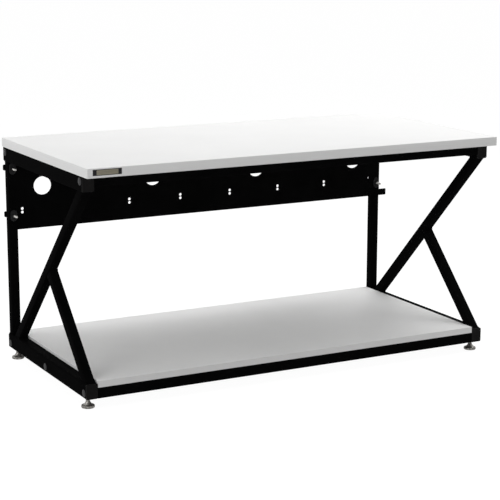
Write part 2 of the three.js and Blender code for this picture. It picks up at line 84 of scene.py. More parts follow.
class TableFinish(bpy.types.PropertyGroup):
    """Colours of the table's finishes"""

    coat: bpy.props.FloatVectorProperty(
        name="Powder coat",
        description="Colour of the welded frame and the rear panel",
        subtype="COLOR",
        size=3,
        min=0.0,
        max=1.0,
        default=(0.0030, 0.0030, 0.0031),
    )
    cap: bpy.props.FloatVectorProperty(
        name="End caps",
        description="Colour of the moulded rail end caps",
        subtype="COLOR",
        size=3,
        min=0.0,
        max=1.0,
        default=(0.0085, 0.0082, 0.0082),
    )
    plug: bpy.props.FloatVectorProperty(
        name="Cover plugs",
        description="Colour of the plugs over the beam bolts",
        subtype="COLOR",
        size=3,
        min=0.0,
        max=1.0,
        default=(0.058, 0.058, 0.059),
    )
    foot_zinc: bpy.props.FloatVectorProperty(
        name="Foot zinc",
        description="Colour of the plated feet and their stems",
        subtype="COLOR",
        size=3,
        min=0.0,
        max=1.0,
        default=(0.245, 0.235, 0.22),
    )
    bolt_zinc: bpy.props.FloatVectorProperty(
        name="Bolt zinc",
        description="Colour of the plated panel bolts",
        subtype="COLOR",
        size=3,
        min=0.0,
        max=1.0,
        default=(0.46, 0.45, 0.43),
    )
    nut_plate: bpy.props.FloatVectorProperty(
        name="Nut plates",
        description="Colour of the oval nut plates",
        subtype="COLOR",
        size=3,
        min=0.0,
        max=1.0,
        default=(0.02, 0.02, 0.0205),
    )
    field: bpy.props.FloatVectorProperty(
        name="Plate field",
        description="Colour of the blank field on the plain plate",
        subtype="COLOR",
        size=3,
        min=0.0,
        max=1.0,
        default=(0.27, 0.25, 0.19),
    )
    laminate: bpy.props.FloatVectorProperty(
        name="Laminate",
        description="Colour of the top and the shelf",
        subtype="COLOR",
        size=3,
        min=0.0,
        max=1.0,
        default=(0.87, 0.87, 0.865),
    )
    band: bpy.props.FloatVectorProperty(
        name="Edge band",
        description="Colour of the bands on the boards' edges",
        subtype="COLOR",
        size=3,
        min=0.0,
        max=1.0,
        default=(0.80, 0.80, 0.795),
    )
    plate: bpy.props.FloatVectorProperty(
        name="Bare plate",
        description="Colour of the plain plate on the top's front edge",
        subtype="COLOR",
        size=3,
        min=0.0,
        max=1.0,
        default=(0.017, 0.017, 0.018),
    )


class TableHardware(bpy.types.PropertyGroup):
    """Sizes of the fittings and the hardware"""

    foot_pitch: bpy.props.FloatProperty(
        name="Foot thread pitch",
        description="Rise of the foot stem's thread in one turn",
        unit="LENGTH",
        default=1.5 * MM,
    )
    bolt_pitch: bpy.props.FloatProperty(
        name="Bolt thread pitch",
        description="Rise of the panel bolt's thread in one turn",
        unit="LENGTH",
        default=1.25 * MM,
    )
    cap_round: bpy.props.FloatProperty(
        name="Cap rounding",
        description="Radius of the end cap's front edge",
        unit="LENGTH",
        default=2.0 * MM,
    )
    bead: bpy.props.FloatProperty(
        name="Weld bead",
        description="Radius of the weld beads at the ends of the braces and posts",
        unit="LENGTH",
        default=1.9 * MM,
    )
    plate_size: bpy.props.FloatVectorProperty(
        name="Bare plate size",
        description="Width, thickness and height of the plain plate",
        subtype="XYZ_LENGTH",
        size=3,
        default=(95.5 * MM, 0.6 * MM, 19 * MM),
    )


class TableStage(bpy.types.PropertyGroup):
    """Camera and light"""

    eye: bpy.props.FloatVectorProperty(
        name="Camera place",
        description="Where the camera stands",
        subtype="TRANSLATION",
        size=3,
        default=(-2.57738, -4.80209, 1.54332),
    )
    heading: bpy.props.FloatProperty(
        name="Heading",
        description="Turn of the camera about the vertical",
        subtype="ANGLE",
        default=math.radians(-28.16),
    )
    pitch: bpy.props.FloatProperty(
        name="Pitch",
        description="How far the camera looks down",
        subtype="ANGLE",
        default=math.radians(12.07),
    )
    roll: bpy.props.FloatProperty(
        name="Roll",
        description="Turn of the camera about its own line of sight",
        subtype="ANGLE",
        default=math.radians(0.13),
    )
    lens: bpy.props.FloatProperty(
        name="Lens",
        description="Focal length on a 36 mm sensor, in millimetres",
        default=114.91,
    )
    sky: bpy.props.FloatProperty(
        name="Sky",
        description="Strength of the even light from all round",
        default=0.25,
    )
    overhead: bpy.props.FloatProperty(
        name="Overhead light",
        description="Power of the large light over the table's right end",
        unit="POWER",
        default=76.0,
    )
    rear: bpy.props.FloatProperty(
        name="Rear light",
        description="Power of the high light behind the table",
        unit="POWER",
        default=34.0,
    )
    left: bpy.props.FloatProperty(
        name="Left light",
        description="Power of the soft light on the left",
        unit="POWER",
        default=62.0,
    )
    low: bpy.props.FloatProperty(
        name="Low light",
        description="Power of the low light that reaches the shelf from behind",
        unit="POWER",
        default=17.0,
    )
    front: bpy.props.FloatProperty(
        name="Front light",
        description="Power of the weak light at the front",
        unit="POWER",
        default=22.0,
    )


# Selection and objects


def clear_selection():
    if bpy.context.object is not None and bpy.context.object.mode != "OBJECT":
        bpy.ops.object.mode_set(mode="OBJECT")
    bpy.ops.object.select_all(action="DESELECT")


def activate(obj):
    clear_selection()
    obj.select_set(True)
    bpy.context.view_layer.objects.active = obj


def named(name):
    """Names the active object and its mesh."""
    obj = bpy.context.object
    obj.name = name
    obj.data.name = name
    return obj


def edit(obj):
    activate(obj)
    bpy.ops.object.mode_set(mode="EDIT")


def pick(obj, kind, test):
    """Selects only the vertices, edges or faces that pass a test, in edit mode."""
    bpy.ops.mesh.select_mode(type=kind)
    bpy.ops.mesh.select_all(action="DESELECT")
    bm = bmesh.from_edit_mesh(obj.data)
    parts = {"VERT": bm.verts, "EDGE": bm.edges, "FACE": bm.faces}[kind]
    for part in parts:
        if test(part):
            part.select_set(True)
    bm.select_flush_mode()
    bmesh.update_edit_mesh(obj.data)


def faces_towards(obj, way):
    pick(obj, "FACE", lambda f: f.normal.dot(way) > SQUARE)


def block(name, low, high):
    """A box between two corners, open in edit mode."""
    clear_selection()
    low, high = Vector(low), Vector(high)
    bpy.ops.mesh.primitive_cube_add(size=1, location=(low + high) / 2, scale=high - low)
    obj = named(name)
    bpy.ops.object.transform_apply(location=True, rotation=True, scale=True)
    bpy.ops.object.mode_set(mode="EDIT")
    return obj


def extrude(step):
    bpy.ops.mesh.extrude_region_move(TRANSFORM_OT_translate={"value": step})


def round_edges(obj, test, radius, segments):
    pick(obj, "EDGE", test)
    bpy.ops.mesh.bevel(offset=radius, segments=segments, affect="EDGES")


def runs_along(axis):
    """A test for edges parallel to an axis."""
    return lambda e: abs((e.verts[1].co - e.verts[0].co).normalized()[axis]) > SQUARE


def in_plane(axis, level):
    """A test for edges that lie at one level on an axis."""
    return lambda e: all(abs(v.co[axis] - level) < NEAR for v in e.verts)


def drawn_outline(name, points):
    """An open line through (radius, height) points in the XZ plane, drawn from one vertex."""
    clear_selection()
    bpy.ops.mesh.primitive_plane_add(size=MM)
    obj = named(name)
    bpy.ops.object.mode_set(mode="EDIT")
    bpy.ops.mesh.select_mode(type="VERT")
    bpy.ops.mesh.select_all(action="SELECT")
    bpy.ops.mesh.merge(type="CENTER")
    bpy.ops.transform.translate(value=(points[0][0], 0, points[0][1]))
    for (r0, h0), (r1, h1) in zip(points, points[1:]):
        step = (r1 - r0, 0, h1 - h0)
        bpy.ops.mesh.extrude_vertices_move(TRANSFORM_OT_translate={"value": step})
    return obj


def close_up(obj):
    """Merges doubles and turns the faces outwards, in edit mode."""
    bpy.ops.mesh.select_mode(type="VERT")
    bpy.ops.mesh.select_all(action="SELECT")
    bpy.ops.mesh.remove_doubles(threshold=NEAR)
    bpy.ops.mesh.normals_make_consistent(inside=False)
    bpy.ops.object.mode_set(mode="OBJECT")
    return obj


def turned(name, points, steps):
    """A body of (radius, height) points in millimetres, spun about Z."""
    obj = drawn_outline(name, [(r * MM, h * MM) for r, h in points])
    bpy.ops.mesh.select_all(action="SELECT")
    bpy.ops.mesh.spin(steps=steps, angle=math.tau, center=(0, 0, 0), axis=(0, 0, 1))
    return close_up(obj)


def threaded(name, major, minor, pitch, low, high):
    """A length of screw thread on Z, in metres, with flat ends."""
    flat = pitch * THREAD_FLAT
    start = pitch * THREAD_START
    outline = [
        (minor, 0),
        (minor, flat),
        (major, pitch / 2 - flat),
        (major, pitch / 2 + flat),
        (minor, pitch - flat),
        (minor, pitch),
    ]
    obj = drawn_outline(name, outline)
    bpy.ops.object.mode_set(mode="OBJECT")
    screw = obj.modifiers.new("thread", "SCREW")
    screw.axis = "Z"
    screw.angle = math.tau
    screw.screw_offset = pitch
    screw.iterations = math.ceil((high - low) / pitch) + 2
    screw.steps = THREAD_STEPS
    screw.render_steps = THREAD_STEPS
    screw.use_merge_vertices = False
    bpy.ops.object.modifier_apply(modifier=screw.name)
    edit(obj)
    bpy.ops.mesh.select_all(action="SELECT")
    bpy.ops.mesh.remove_doubles(threshold=THREAD_MERGE)
    for level, inner in ((start, True), (start + high - low, False)):
        bpy.ops.mesh.select_all(action="SELECT")
        bpy.ops.mesh.bisect(
            plane_co=(0, 0, level),
            plane_no=(0, 0, 1),
            use_fill=True,
            clear_inner=inner,
            clear_outer=not inner,
            threshold=THREAD_CUT,
        )
    close_up(obj)
    obj.data.transform(Matrix.Translation((0, 0, low - start)))
    return obj


def combine(obj, other, operation):
    """A boolean of two closed bodies; the second one is used up."""
    activate(obj)
    mod = obj.modifiers.new("cut", "BOOLEAN")
    mod.operation = operation
    mod.solver = "EXACT"
    mod.object = other
    bpy.ops.object.modifier_apply(modifier=mod.name)
    discard(other)
    return obj


def discard(obj):
    mesh = obj.data
    bpy.data.objects.remove(obj)
    bpy.data.meshes.remove(mesh)


def hexagon(name, flats, low, high, chamfer_low=True, chamfer_high=True):
    """A hexagonal body on Z with its corners chamfered on the ends that show, in millimetres."""
    clear_selection()
    corner = flats / math.sqrt(3)
    place = (0, 0, (low + high) / 2 * MM)
    depth = (high - low) * MM
    bpy.ops.mesh.primitive_cylinder_add(vertices=6, radius=corner * MM, depth=depth, location=place)
    obj = named(name)
    bpy.ops.object.transform_apply(location=True, rotation=True, scale=True)
    face = flats / 2 * HEX_FACE
    rise = (corner - face) * math.tan(HEX_CHAMFER)
    clear = rise * HEX_CLEAR
    wide = corner * HEX_BLANK
    profile = [(0, low)]
    if chamfer_low:
        profile += [(face, low), (corner, low + rise), (wide, low + clear)]
    else:
        profile += [(wide, low)]
    if chamfer_high:
        profile += [(wide, high - clear), (corner, high - rise), (face, high)]
    else:
        profile += [(wide, high)]
    profile += [(0, high)]
    return combine(obj, turned(name + "_blank", profile, steps=48), "INTERSECT")


def smooth(obj, angle=32):
    """Soft shading, except at edges sharper than an angle in degrees."""
    activate(obj)
    bpy.ops.object.shade_smooth_by_angle(angle=math.radians(angle))
    return obj


def settle(obj, material, body, slot, *replaced):
    """Gives a finished piece its material and its body, and hides the nodes it stands for; the slot
    argument is not used.
    """
    obj.data.materials.clear()
    obj.data.materials.append(material)
    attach(obj, body)
    if replaced:
        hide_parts(*replaced)
    return obj


def copy_of(master, name, matrix):
    """A copy with its own mesh, moved to its place in the mesh."""
    obj = bpy.data.objects.new(name, master.data.copy())
    obj.data.name = name
    bpy.context.scene.collection.objects.link(obj)
    obj.data.transform(matrix)
    if matrix.determinant() < 0:
        obj.data.flip_normals()
    obj.data.update()
    return obj


def polished(node, name):
    """A merged copy of a CAD node, with soft shading on its rounded corners."""
    obj = bpy.data.objects.new(name, NODES[node].data.copy())
    obj.data.name = name
    bpy.context.scene.collection.objects.link(obj)
    edit(obj)
    bpy.ops.mesh.customdata_custom_splitnormals_clear()
    bpy.ops.mesh.select_all(action="SELECT")
    bpy.ops.mesh.remove_doubles(threshold=NODE_MERGE)
    bpy.ops.mesh.dissolve_limited(angle_limit=FLAT_ANGLE)
    bpy.ops.object.mode_set(mode="OBJECT")
    return smooth(obj)


def middle(node):
    low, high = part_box(node)
    return (low + high) / 2


# Materials


def link(tree, source, target):
    tree.links.new(source, target)


def new_material(name):
    mat = bpy.data.materials.new(name)
    mat.use_nodes = True
    tree = mat.node_tree
    shader = tree.nodes["Principled BSDF"]
    place = tree.nodes.new("ShaderNodeTexCoord")
    return mat, tree, shader, place.outputs["Object"]


def noise(tree, where, scale, detail=3.0, rough=0.55):
    node = tree.nodes.new("ShaderNodeTexNoise")
    node.inputs["Scale"].default_value = scale
    node.inputs["Detail"].default_value = detail
    node.inputs["Roughness"].default_value = rough
    link(tree, where, node.inputs["Vector"])
    return node.outputs["Fac"]


def stretched(tree, where, scale):
    node = tree.nodes.new("ShaderNodeMapping")
    node.inputs["Scale"].default_value = scale
    link(tree, where, node.inputs["Vector"])
    return node.outputs["Vector"]


def ramp(tree, value, low, high, start=0.3, end=0.7):
    """Maps a pattern to a range of numbers."""
    node = tree.nodes.new("ShaderNodeMapRange")
    node.inputs["From Min"].default_value = start
    node.inputs["From Max"].default_value = end
    node.inputs["To Min"].default_value = low
    node.inputs["To Max"].default_value = high
    link(tree, value, node.inputs["Value"])
    return node.outputs["Result"]


def blend_colours(tree, value, dark, light):
    node = tree.nodes.new("ShaderNodeMix")
    node.data_type = "RGBA"
    first, second = (socket for socket in node.inputs if socket.type == "RGBA")
    first.default_value = (*dark, 1)
    second.default_value = (*light, 1)
    link(tree, value, node.inputs["Factor"])
    return next(socket for socket in node.outputs if socket.type == "RGBA")


def relief(tree, shader, height, strength, distance):
    node = tree.nodes.new("ShaderNodeBump")
    node.inputs["Strength"].default_value = strength
    node.inputs["Distance"].default_value = distance
    link(tree, height, node.inputs["Height"])
    link(tree, node.outputs["Normal"], shader.inputs["Normal"])


def scaled(colour, factor):
    return tuple(min(1.0, c * factor) for c in colour)


def powder_coat(name, colour):
    """Fine orange-peel coat with slight cloudiness."""
    mat, tree, shader, where = new_material(name)
    cloud = ramp(tree, noise(tree, where, scale=9.0), low=0.0, high=1.0)
    peel = noise(tree, where, scale=900.0, detail=2.0)
    tint = blend_colours(tree, cloud, dark=scaled(colour, 0.8), light=scaled(colour, 1.25))
    link(tree, tint, shader.inputs["Base Color"])
    link(tree, ramp(tree, peel, low=0.44, high=0.58), shader.inputs["Roughness"])
    shader.inputs["Specular IOR Level"].default_value = 0.0006
    relief(tree, shader, peel, strength=0.25, distance=0.12 * MM)
    return mat


def moulded(name, colour, grain, roughness):
    """Moulded plastic with a light spark-eroded grain."""
    mat, tree, shader, where = new_material(name)
    cloud = ramp(tree, noise(tree, where, scale=40.0), low=0.0, high=1.0)
    pits = noise(tree, where, scale=grain, detail=2.5)
    tint = blend_colours(tree, cloud, dark=scaled(colour, 0.88), light=scaled(colour, 1.15))
    link(tree, tint, shader.inputs["Base Color"])
    gloss = ramp(tree, pits, low=roughness - 0.06, high=roughness + 0.08)
    link(tree, gloss, shader.inputs["Roughness"])
    shader.inputs["Specular IOR Level"].default_value = 0.03
    relief(tree, shader, pits, strength=0.3, distance=0.1 * MM)
    return mat


def zinc_plate(name, colour, roughness, metal):
    """Zinc plate: clouded crystals, faint tool marks and varied gloss, duller with less bare metal."""
    mat, tree, shader, where = new_material(name)
    crystals = tree.nodes.new("ShaderNodeTexVoronoi")
    crystals.inputs["Scale"].default_value = 420.0
    link(tree, where, crystals.inputs["Vector"])
    spread = ramp(tree, crystals.outputs["Distance"], low=0.55, high=1.0, start=0.0, end=0.8)
    cloud = noise(tree, where, scale=110.0, detail=2.0)
    patches = tree.nodes.new("ShaderNodeMath")
    patches.operation = "MULTIPLY"
    link(tree, spread, patches.inputs[0])
    link(tree, ramp(tree, cloud, low=0.1, high=1.0, start=0.4, end=0.6), patches.inputs[1])
    tint = blend_colours(tree, patches.outputs[0], dark=scaled(colour, 0.45), light=scaled(colour, 1.7))
    link(tree, tint, shader.inputs["Base Color"])
    shader.inputs["Metallic"].default_value = metal
    shader.inputs["Specular Tint"].default_value = (0.4, 0.4, 0.4, 1)
    marks = noise(tree, stretched(tree, where, (300.0, 300.0, 2400.0)), scale=1.0)
    gloss = ramp(tree, marks, low=roughness - 0.08, high=roughness + 0.1)
    link(tree, gloss, shader.inputs["Roughness"])
    relief(tree, shader, marks, strength=0.12, distance=0.08 * MM)
    return mat


def white_laminate(name, colour):
    """Hard white laminate with a fine stipple and a trace of cloud."""
    mat, tree, shader, where = new_material(name)
    cloud = ramp(tree, noise(tree, where, scale=5.0, detail=4.0), low=0.0, high=1.0)
    stipple = noise(tree, where, scale=1300.0, detail=1.5)
    tint = blend_colours(tree, cloud, dark=scaled(colour, 0.985), light=scaled(colour, 1.012))
    link(tree, tint, shader.inputs["Base Color"])
    link(tree, ramp(tree, stipple, low=0.42, high=0.56), shader.inputs["Roughness"])
    shader.inputs["Specular IOR Level"].default_value = 0.3
    relief(tree, shader, stipple, strength=0.12, distance=0.1 * MM)
    return mat


def edge_band(name, colour):
    """Extruded band: faint streaks along its length."""
    mat, tree, shader, where = new_material(name)
    streaks = noise(tree, stretched(tree, where, (3.0, 3.0, 900.0)), scale=1.0, detail=4.0)
    shade = ramp(tree, streaks, low=0.0, high=1.0)
    tint = blend_colours(tree, shade, dark=scaled(colour, 0.97), light=scaled(colour, 1.02))
    link(tree, tint, shader.inputs["Base Color"])
    link(tree, ramp(tree, streaks, low=0.46, high=0.58), shader.inputs["Roughness"])
    shader.inputs["Specular IOR Level"].default_value = 0.3
    relief(tree, shader, streaks, strength=0.1, distance=0.08 * MM)
    return mat


def brushed_sheet(name, colour):
    """Coated sheet metal with long brushed lines."""
    mat, tree, shader, where = new_material(name)
    lines = noise(tree, stretched(tree, where, (8.0, 8.0, 1800.0)), scale=1.0, detail=5.0)
    shade = ramp(tree, lines, low=0.0, high=1.0)
    tint = blend_colours(tree, shade, dark=scaled(colour, 0.7), light=scaled(colour, 1.4))
    link(tree, tint, shader.inputs["Base Color"])
    link(tree, ramp(tree, lines, low=0.32, high=0.48), shader.inputs["Roughness"])
    shader.inputs["Specular IOR Level"].default_value = 0.1
    relief(tree, shader, lines, strength=0.12, distance=0.06 * MM)
    return mat


def material(name, make, colour, **details):
    """A finish is made once and shared."""
    return bpy.data.materials.get(name) or make(name, colour, **details)


def coat_material():
    return material("black_powder_coat", powder_coat, bpy.context.scene.table_finish.coat)


# Operators


class TABLE_OT_coat_frame(bpy.types.Operator):
    """Powder coats the rails, posts, braces and beams"""

    bl_idname = "table.coat_frame"
    bl_label = "Coat Frame"

    PARTS = ("top_rail", "bottom_rail", "rear_post", "long_brace", "short_brace")

    def execute(self, context):
        coat = coat_material()
        tubes = [f"{side}_{part}" for side in SIDES for part in self.PARTS]
        tubes += [f"top_beam_{end}" for end in ENDS]
        tubes += [f"bottom_beam_{end}" for end in ("front", "middle", "rear")]
        for node in tubes:
            settle(polished(node, node + "_tube"), coat, "table", "powder_coat", node)
        return {"FINISHED"}


class TABLE_OT_coat_panel(bpy.types.Operator):
    """Powder coats the perforated rear panel, its clamp bars and the side tab"""

    bl_idname = "table.coat_panel"
    bl_label = "Coat Panel"

    def execute(self, context):
        coat = coat_material()
        parts = ["rear_panel", "side_tab"]
        parts += [f"{side}_clamp_bar_{level}" for side in SIDES for level in LEVELS]
        for node in parts:
            settle(polished(node, node + "_sheet"), coat, "table", "powder_coat", node)
        return {"FINISHED"}


class TABLE_OT_finish_boards(bpy.types.Operator):
    """Gives the top and the shelf their laminate and edge bands"""

    bl_idname = "table.finish_boards"
    bl_label = "Finish Boards"

    EASE = 0.3 * MM
    SHARP = math.radians(60)

    def execute(self, context):
        finish = context.scene.table_finish
        laminate = material("white_laminate", white_laminate, finish.laminate)
        band = material("white_edge_band", edge_band, finish.band)
        for node in ("tabletop_board", "shelf_board"):
            settle(self.eased(node, node + "_laminated"), laminate, "table", "laminated_board", node)
        for node in ("tabletop_edge_band", "shelf_edge_band"):
            settle(self.eased(node, node + "_extruded"), band, "table", "edge_band", node)
        return {"FINISHED"}

    def eased(self, node, name):
        """A copy of a board or band with its sharp edges taken off."""
        board = polished(node, name)
        edit(board)
        pick(board, "EDGE", lambda e: e.calc_face_angle(0) > self.SHARP)
        bpy.ops.mesh.bevel(offset=self.EASE, segments=2, affect="EDGES")
        bpy.ops.object.mode_set(mode="OBJECT")
        return smooth(board)


class TABLE_OT_mould_caps(bpy.types.Operator):
    """Models the moulded end caps of the side rails"""

    bl_idname = "table.mould_caps"
    bl_label = "Mould End Caps"

    WIDTH = 40 * MM
    HEIGHT = 50 * MM
    CORNER = 5 * MM
    FLANGE = 4 * MM
    BORDER = 1.6 * MM
    STEP_WIDTH = 0.5 * MM
    STEP_DEPTH = 0.3 * MM
    SHOULDER = 2.8 * MM
    INSERT = 6 * MM
    LEAD_IN = 1 * MM
    LEAD_TAPER = (0.94, 1, 0.95)
    INSERT_WALL = 1.5 * MM
    HOLLOW = 5 * MM

    def execute(self, context):
        finish = context.scene.table_finish
        plastic = material("black_moulded_cap", moulded, finish.cap, grain=700.0, roughness=0.5)
        master = self.front_cap(context.scene.table_hardware.cap_round)
        for side in SIDES:
            for level in ("top", "bottom"):
                for end in ENDS:
                    node = f"{side}_{level}_cap_{end}"
                    low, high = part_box(node)
                    face = low.y if end == "front" else high.y
                    turn = Matrix.Rotation(0 if end == "front" else math.pi, 4, "Z")
                    place = Matrix.Translation(((low.x + high.x) / 2, face, (low.z + high.z) / 2))
                    cap = smooth(copy_of(master, node + "_moulding", place @ turn), angle=40)
                    settle(cap, plastic, "table", "cap_plastic", node)
        discard(master)
        return {"FINISHED"}

    def front_cap(self, rounding):
        """A cap with its face at y = 0, looking to -Y: flange, rounded face and hollow insert."""
        low = (-self.WIDTH / 2, 0, -self.HEIGHT / 2)
        high = (self.WIDTH / 2, self.FLANGE, self.HEIGHT / 2)
        cap = block("cap_master", low, high)
        round_edges(cap, runs_along(1), self.CORNER, segments=8)
        round_edges(cap, in_plane(1, 0), rounding, segments=5)
        faces_towards(cap, Vector((0, -1, 0)))
        bpy.ops.mesh.inset(thickness=self.BORDER)
        bpy.ops.mesh.inset(thickness=self.STEP_WIDTH, depth=-self.STEP_DEPTH)
        faces_towards(cap, Vector((0, 1, 0)))
        bpy.ops.mesh.inset(thickness=self.SHOULDER)
        extrude((0, self.INSERT - self.LEAD_IN, 0))
        extrude((0, self.LEAD_IN, 0))
        tip = (0, self.FLANGE + self.INSERT, 0)
        bpy.ops.transform.resize(value=self.LEAD_TAPER, center_override=tip)
        bpy.ops.mesh.inset(thickness=self.INSERT_WALL)
        extrude((0, -self.HOLLOW, 0))
        return close_up(cap)


class TABLE_OT_mould_plugs(bpy.types.Operator):
    """Models the cover plugs over the beam bolts"""

    bl_idname = "table.mould_plugs"
    bl_label = "Mould Cover Plugs"

    # (radius, height) from the rail's face, in millimetres
    RISE = 2.5
    PROFILE = (
        (0, -4.6),
        (8.9, -4.6),
        (9.6, -3.9),
        (9.6, 0),
        (12.2, 0),
        (12.45, 0.25),
        (12.45, 0.7),
        (12.2, 1.1),
        (11.6, 1.35),
        (10.9, 1.4),
        (10.55, 1.15),
        (10.2, 1.15),
        (9.9, 1.5),
        (8.4, 1.95),
        (6.4, 2.25),
        (4.0, 2.43),
        (1.8, 2.49),
        (0, RISE),
    )

    def execute(self, context):
        finish = context.scene.table_finish
        plastic = material("grey_moulded_plug", moulded, finish.plug, grain=900.0, roughness=0.46)
        master = turned("plug_master", self.PROFILE, steps=56)
        for node in (name for name in sorted(NODES) if "_plug_" in name):
            low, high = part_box(node)
            way = -1 if node.startswith("left") else 1
            seat = low.x + self.RISE * MM if way < 0 else high.x - self.RISE * MM
            turn = Matrix.Rotation(way * math.pi / 2, 4, "Y")
            place = Matrix.Translation((seat, (low.y + high.y) / 2, (low.z + high.z) / 2))
            plug = smooth(copy_of(master, node + "_cover", place @ turn))
            settle(plug, plastic, "table", "plug_plastic", node)
        discard(master)
        return {"FINISHED"}


class TABLE_OT_turn_feet(bpy.types.Operator):
    """Models the foot bases and their threaded stems"""

    bl_idname = "table.turn_feet"
    bl_label = "Turn Feet"

    # (radius, height) from the ground, and the stem's hexagon, in millimetres
    BASE = (
        (0, 0),
        (19.3, 0),
        (20.4, 0.3),
        (21.2, 1.1),
        (21.5, 2.2),
        (21.5, 6.0),
        (21.3, 7.1),
        (20.7, 8.1),
        (19.7, 8.8),
        (18.3, 9.2),
        (16.7, 9.5),
        (15.1, 10.1),
        (13.3, 11.4),
        (11.5, 13.2),
        (9.8, 15.4),
        (8.6, 17.3),
        (7.8, 18.8),
        (7.5, 19.7),
        (7.2, 20.2),
        (6.8, 20.4),
        (5.5, 20.4),
        (5.3, 20.2),
        (5.3, 11.7),
        (0, 11.7),
    )
    PIN = ((0, 12), (4.2, 12), (5, 12.8), (5, 23), (0, 23))
    HEX_FLATS = 12
    HEX_LOW = 20.7
    HEX_HIGH = 27
    STEM_TOP = 68
    THREAD_RADIUS = 5 * MM
    ROOT_RADIUS = 4.15 * MM
    LAP = 1

    def execute(self, context):
        finish = context.scene.table_finish
        zinc = material("plated_foot", zinc_plate, finish.foot_zinc, roughness=0.3, metal=0.5)
        base = turned("foot_base_master", self.BASE, steps=72)
        stem = self.stem(context.scene.table_hardware.foot_pitch)
        for side in SIDES:
            for end in ENDS:
                base_node = f"{side}_foot_base_{end}"
                stem_node = f"{side}_foot_stem_{end}"
                spot = middle(base_node)
                place = Matrix.Translation((spot.x, spot.y, 0))
                piece = smooth(copy_of(base, base_node + "_turned", place))
                settle(piece, zinc, f"{side}_{end}_foot", "zinc_steel", base_node)
                piece = smooth(copy_of(stem, stem_node + "_threaded", place))
                settle(piece, zinc, f"{side}_{end}_stem", "zinc_steel", stem_node)
        discard(base)
        discard(stem)
        return {"FINISHED"}

    def stem(self, pitch):
        """On Z, from the ground up: the pin in the base, the hexagon and the thread."""
        stem = hexagon("foot_stem_master", self.HEX_FLATS, self.HEX_LOW, self.HEX_HIGH)
        stem = combine(stem, turned("foot_pin", self.PIN, steps=32), "UNION")
        low = (self.HEX_HIGH - self.LAP) * MM
        high = self.STEM_TOP * MM
        thread = threaded("foot_thread", self.THREAD_RADIUS, self.ROOT_RADIUS, pitch, low, high)
        return combine(stem, thread, "UNION")


class TABLE_OT_bolt_panel(bpy.types.Operator):
    """Models the panel's bolts and their oval nut plates"""

    bl_idname = "table.bolt_panel"
    bl_label = "Bolt Panel"

    # Millimetres, except for the lengths given in metres by MM
    HEAD = 5.5
    FLATS = 13
    THREAD = 34
    THREAD_RADIUS = 4 * MM
    ROOT_RADIUS = 3.3 * MM
    POINT = ((0, -1), (2.6, -1), (2.6, 0), (4.4, 1.8), (4.4, 40), (0, 40))
    SHANK_RADIUS = 3.9
    SHANK_LAP = 2
    HEAD_LAP = 1
    PLATE = (23, 39, 4)
    PLATE_SIDES = 52
    PLATE_EDGE = 0.9 * MM
    NUT = 6.5
    NUT_LAP = 0.5
    BORE = ((0, -2), (4.3, -2), (4.3, 14), (0, 14))

    def execute(self, context):
        finish = context.scene.table_finish
        zinc = material("plated_bolt", zinc_plate, finish.bolt_zinc, roughness=0.25, metal=1.0)
        dark = material("dark_nut_plate", moulded, finish.nut_plate, grain=800.0, roughness=0.4)
        low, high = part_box("left_panel_bolt_lower")
        length = (high.y - low.y) / MM
        bolt = self.bolt(length, context.scene.table_hardware.bolt_pitch)
        plate = self.nut_plate()
        turn = Matrix.Rotation(-math.pi / 2, 4, "X")
        for side in SIDES:
            for level in LEVELS:
                bolt_node = f"{side}_panel_bolt_{level}"
                plate_node = f"{side}_nut_plate_{level}"
                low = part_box(bolt_node)[0]
                spot = middle(bolt_node)
                place = Matrix.Translation((spot.x, low.y, spot.z)) @ turn
                piece = smooth(copy_of(bolt, bolt_node + "_threaded", place))
                settle(piece, zinc, "table", "zinc_steel", bolt_node)
                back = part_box(plate_node)[1].y
                place = Matrix.Translation((spot.x, back, spot.z))
                piece = smooth(copy_of(plate, plate_node + "_oval", place))
                settle(piece, dark, "table", "dark_steel", plate_node)
        discard(bolt)
        discard(plate)
        return {"FINISHED"}

    def bolt(self, length, pitch):
        """On Z, with its tip at 0 and its head at the far end."""
        neck = length - self.HEAD
        end = self.THREAD * MM
        thread = threaded("bolt_thread", self.THREAD_RADIUS, self.ROOT_RADIUS, pitch, 0, end)
        thread = combine(thread, turned("bolt_point", self.POINT, steps=32), "INTERSECT")
        low, high = self.THREAD - self.SHANK_LAP, neck + self.HEAD_LAP
        shank = ((0, low), (self.SHANK_RADIUS, low), (self.SHANK_RADIUS, high), (0, high))
        bolt = hexagon("bolt_master", self.FLATS, neck, length, chamfer_low=False)
        bolt = combine(bolt, turned("bolt_shank", shank, steps=32), "UNION")
        return combine(bolt, thread, "UNION")

    def nut_plate(self):
        """An oval plate with its back at y = 0, facing -Y, and a chamfered nut on it."""
        width, height, thick = (size * MM for size in self.PLATE)
        upright = Matrix.Rotation(math.pi / 2, 4, "X")
        clear_selection()
        bpy.ops.mesh.primitive_cylinder_add(vertices=self.PLATE_SIDES, radius=width / 2, depth=thick)
        plate = named("nut_plate_master")
        turn = upright @ Matrix.Rotation(math.pi / self.PLATE_SIDES, 4, "Z")
        plate.data.transform(Matrix.Translation((0, -thick / 2, 0)) @ turn)
        edit(plate)
        for way in (-1, 1):
            pick(plate, "VERT", lambda v: v.co.z * way > 0)
            bpy.ops.transform.translate(value=(0, 0, way * (height - width) / 2))
        round_edges(plate, in_plane(1, -thick), self.PLATE_EDGE, segments=4)
        close_up(plate)
        seat = self.PLATE[2]
        nut = hexagon("plate_nut", self.FLATS, seat - self.NUT_LAP, seat + self.NUT, chamfer_low=False)
        nut.data.transform(upright)
        plate = combine(plate, nut, "UNION")
        bore = turned("plate_bore", self.BORE, steps=32)
        bore.data.transform(upright)
        return combine(plate, bore, "DIFFERENCE")


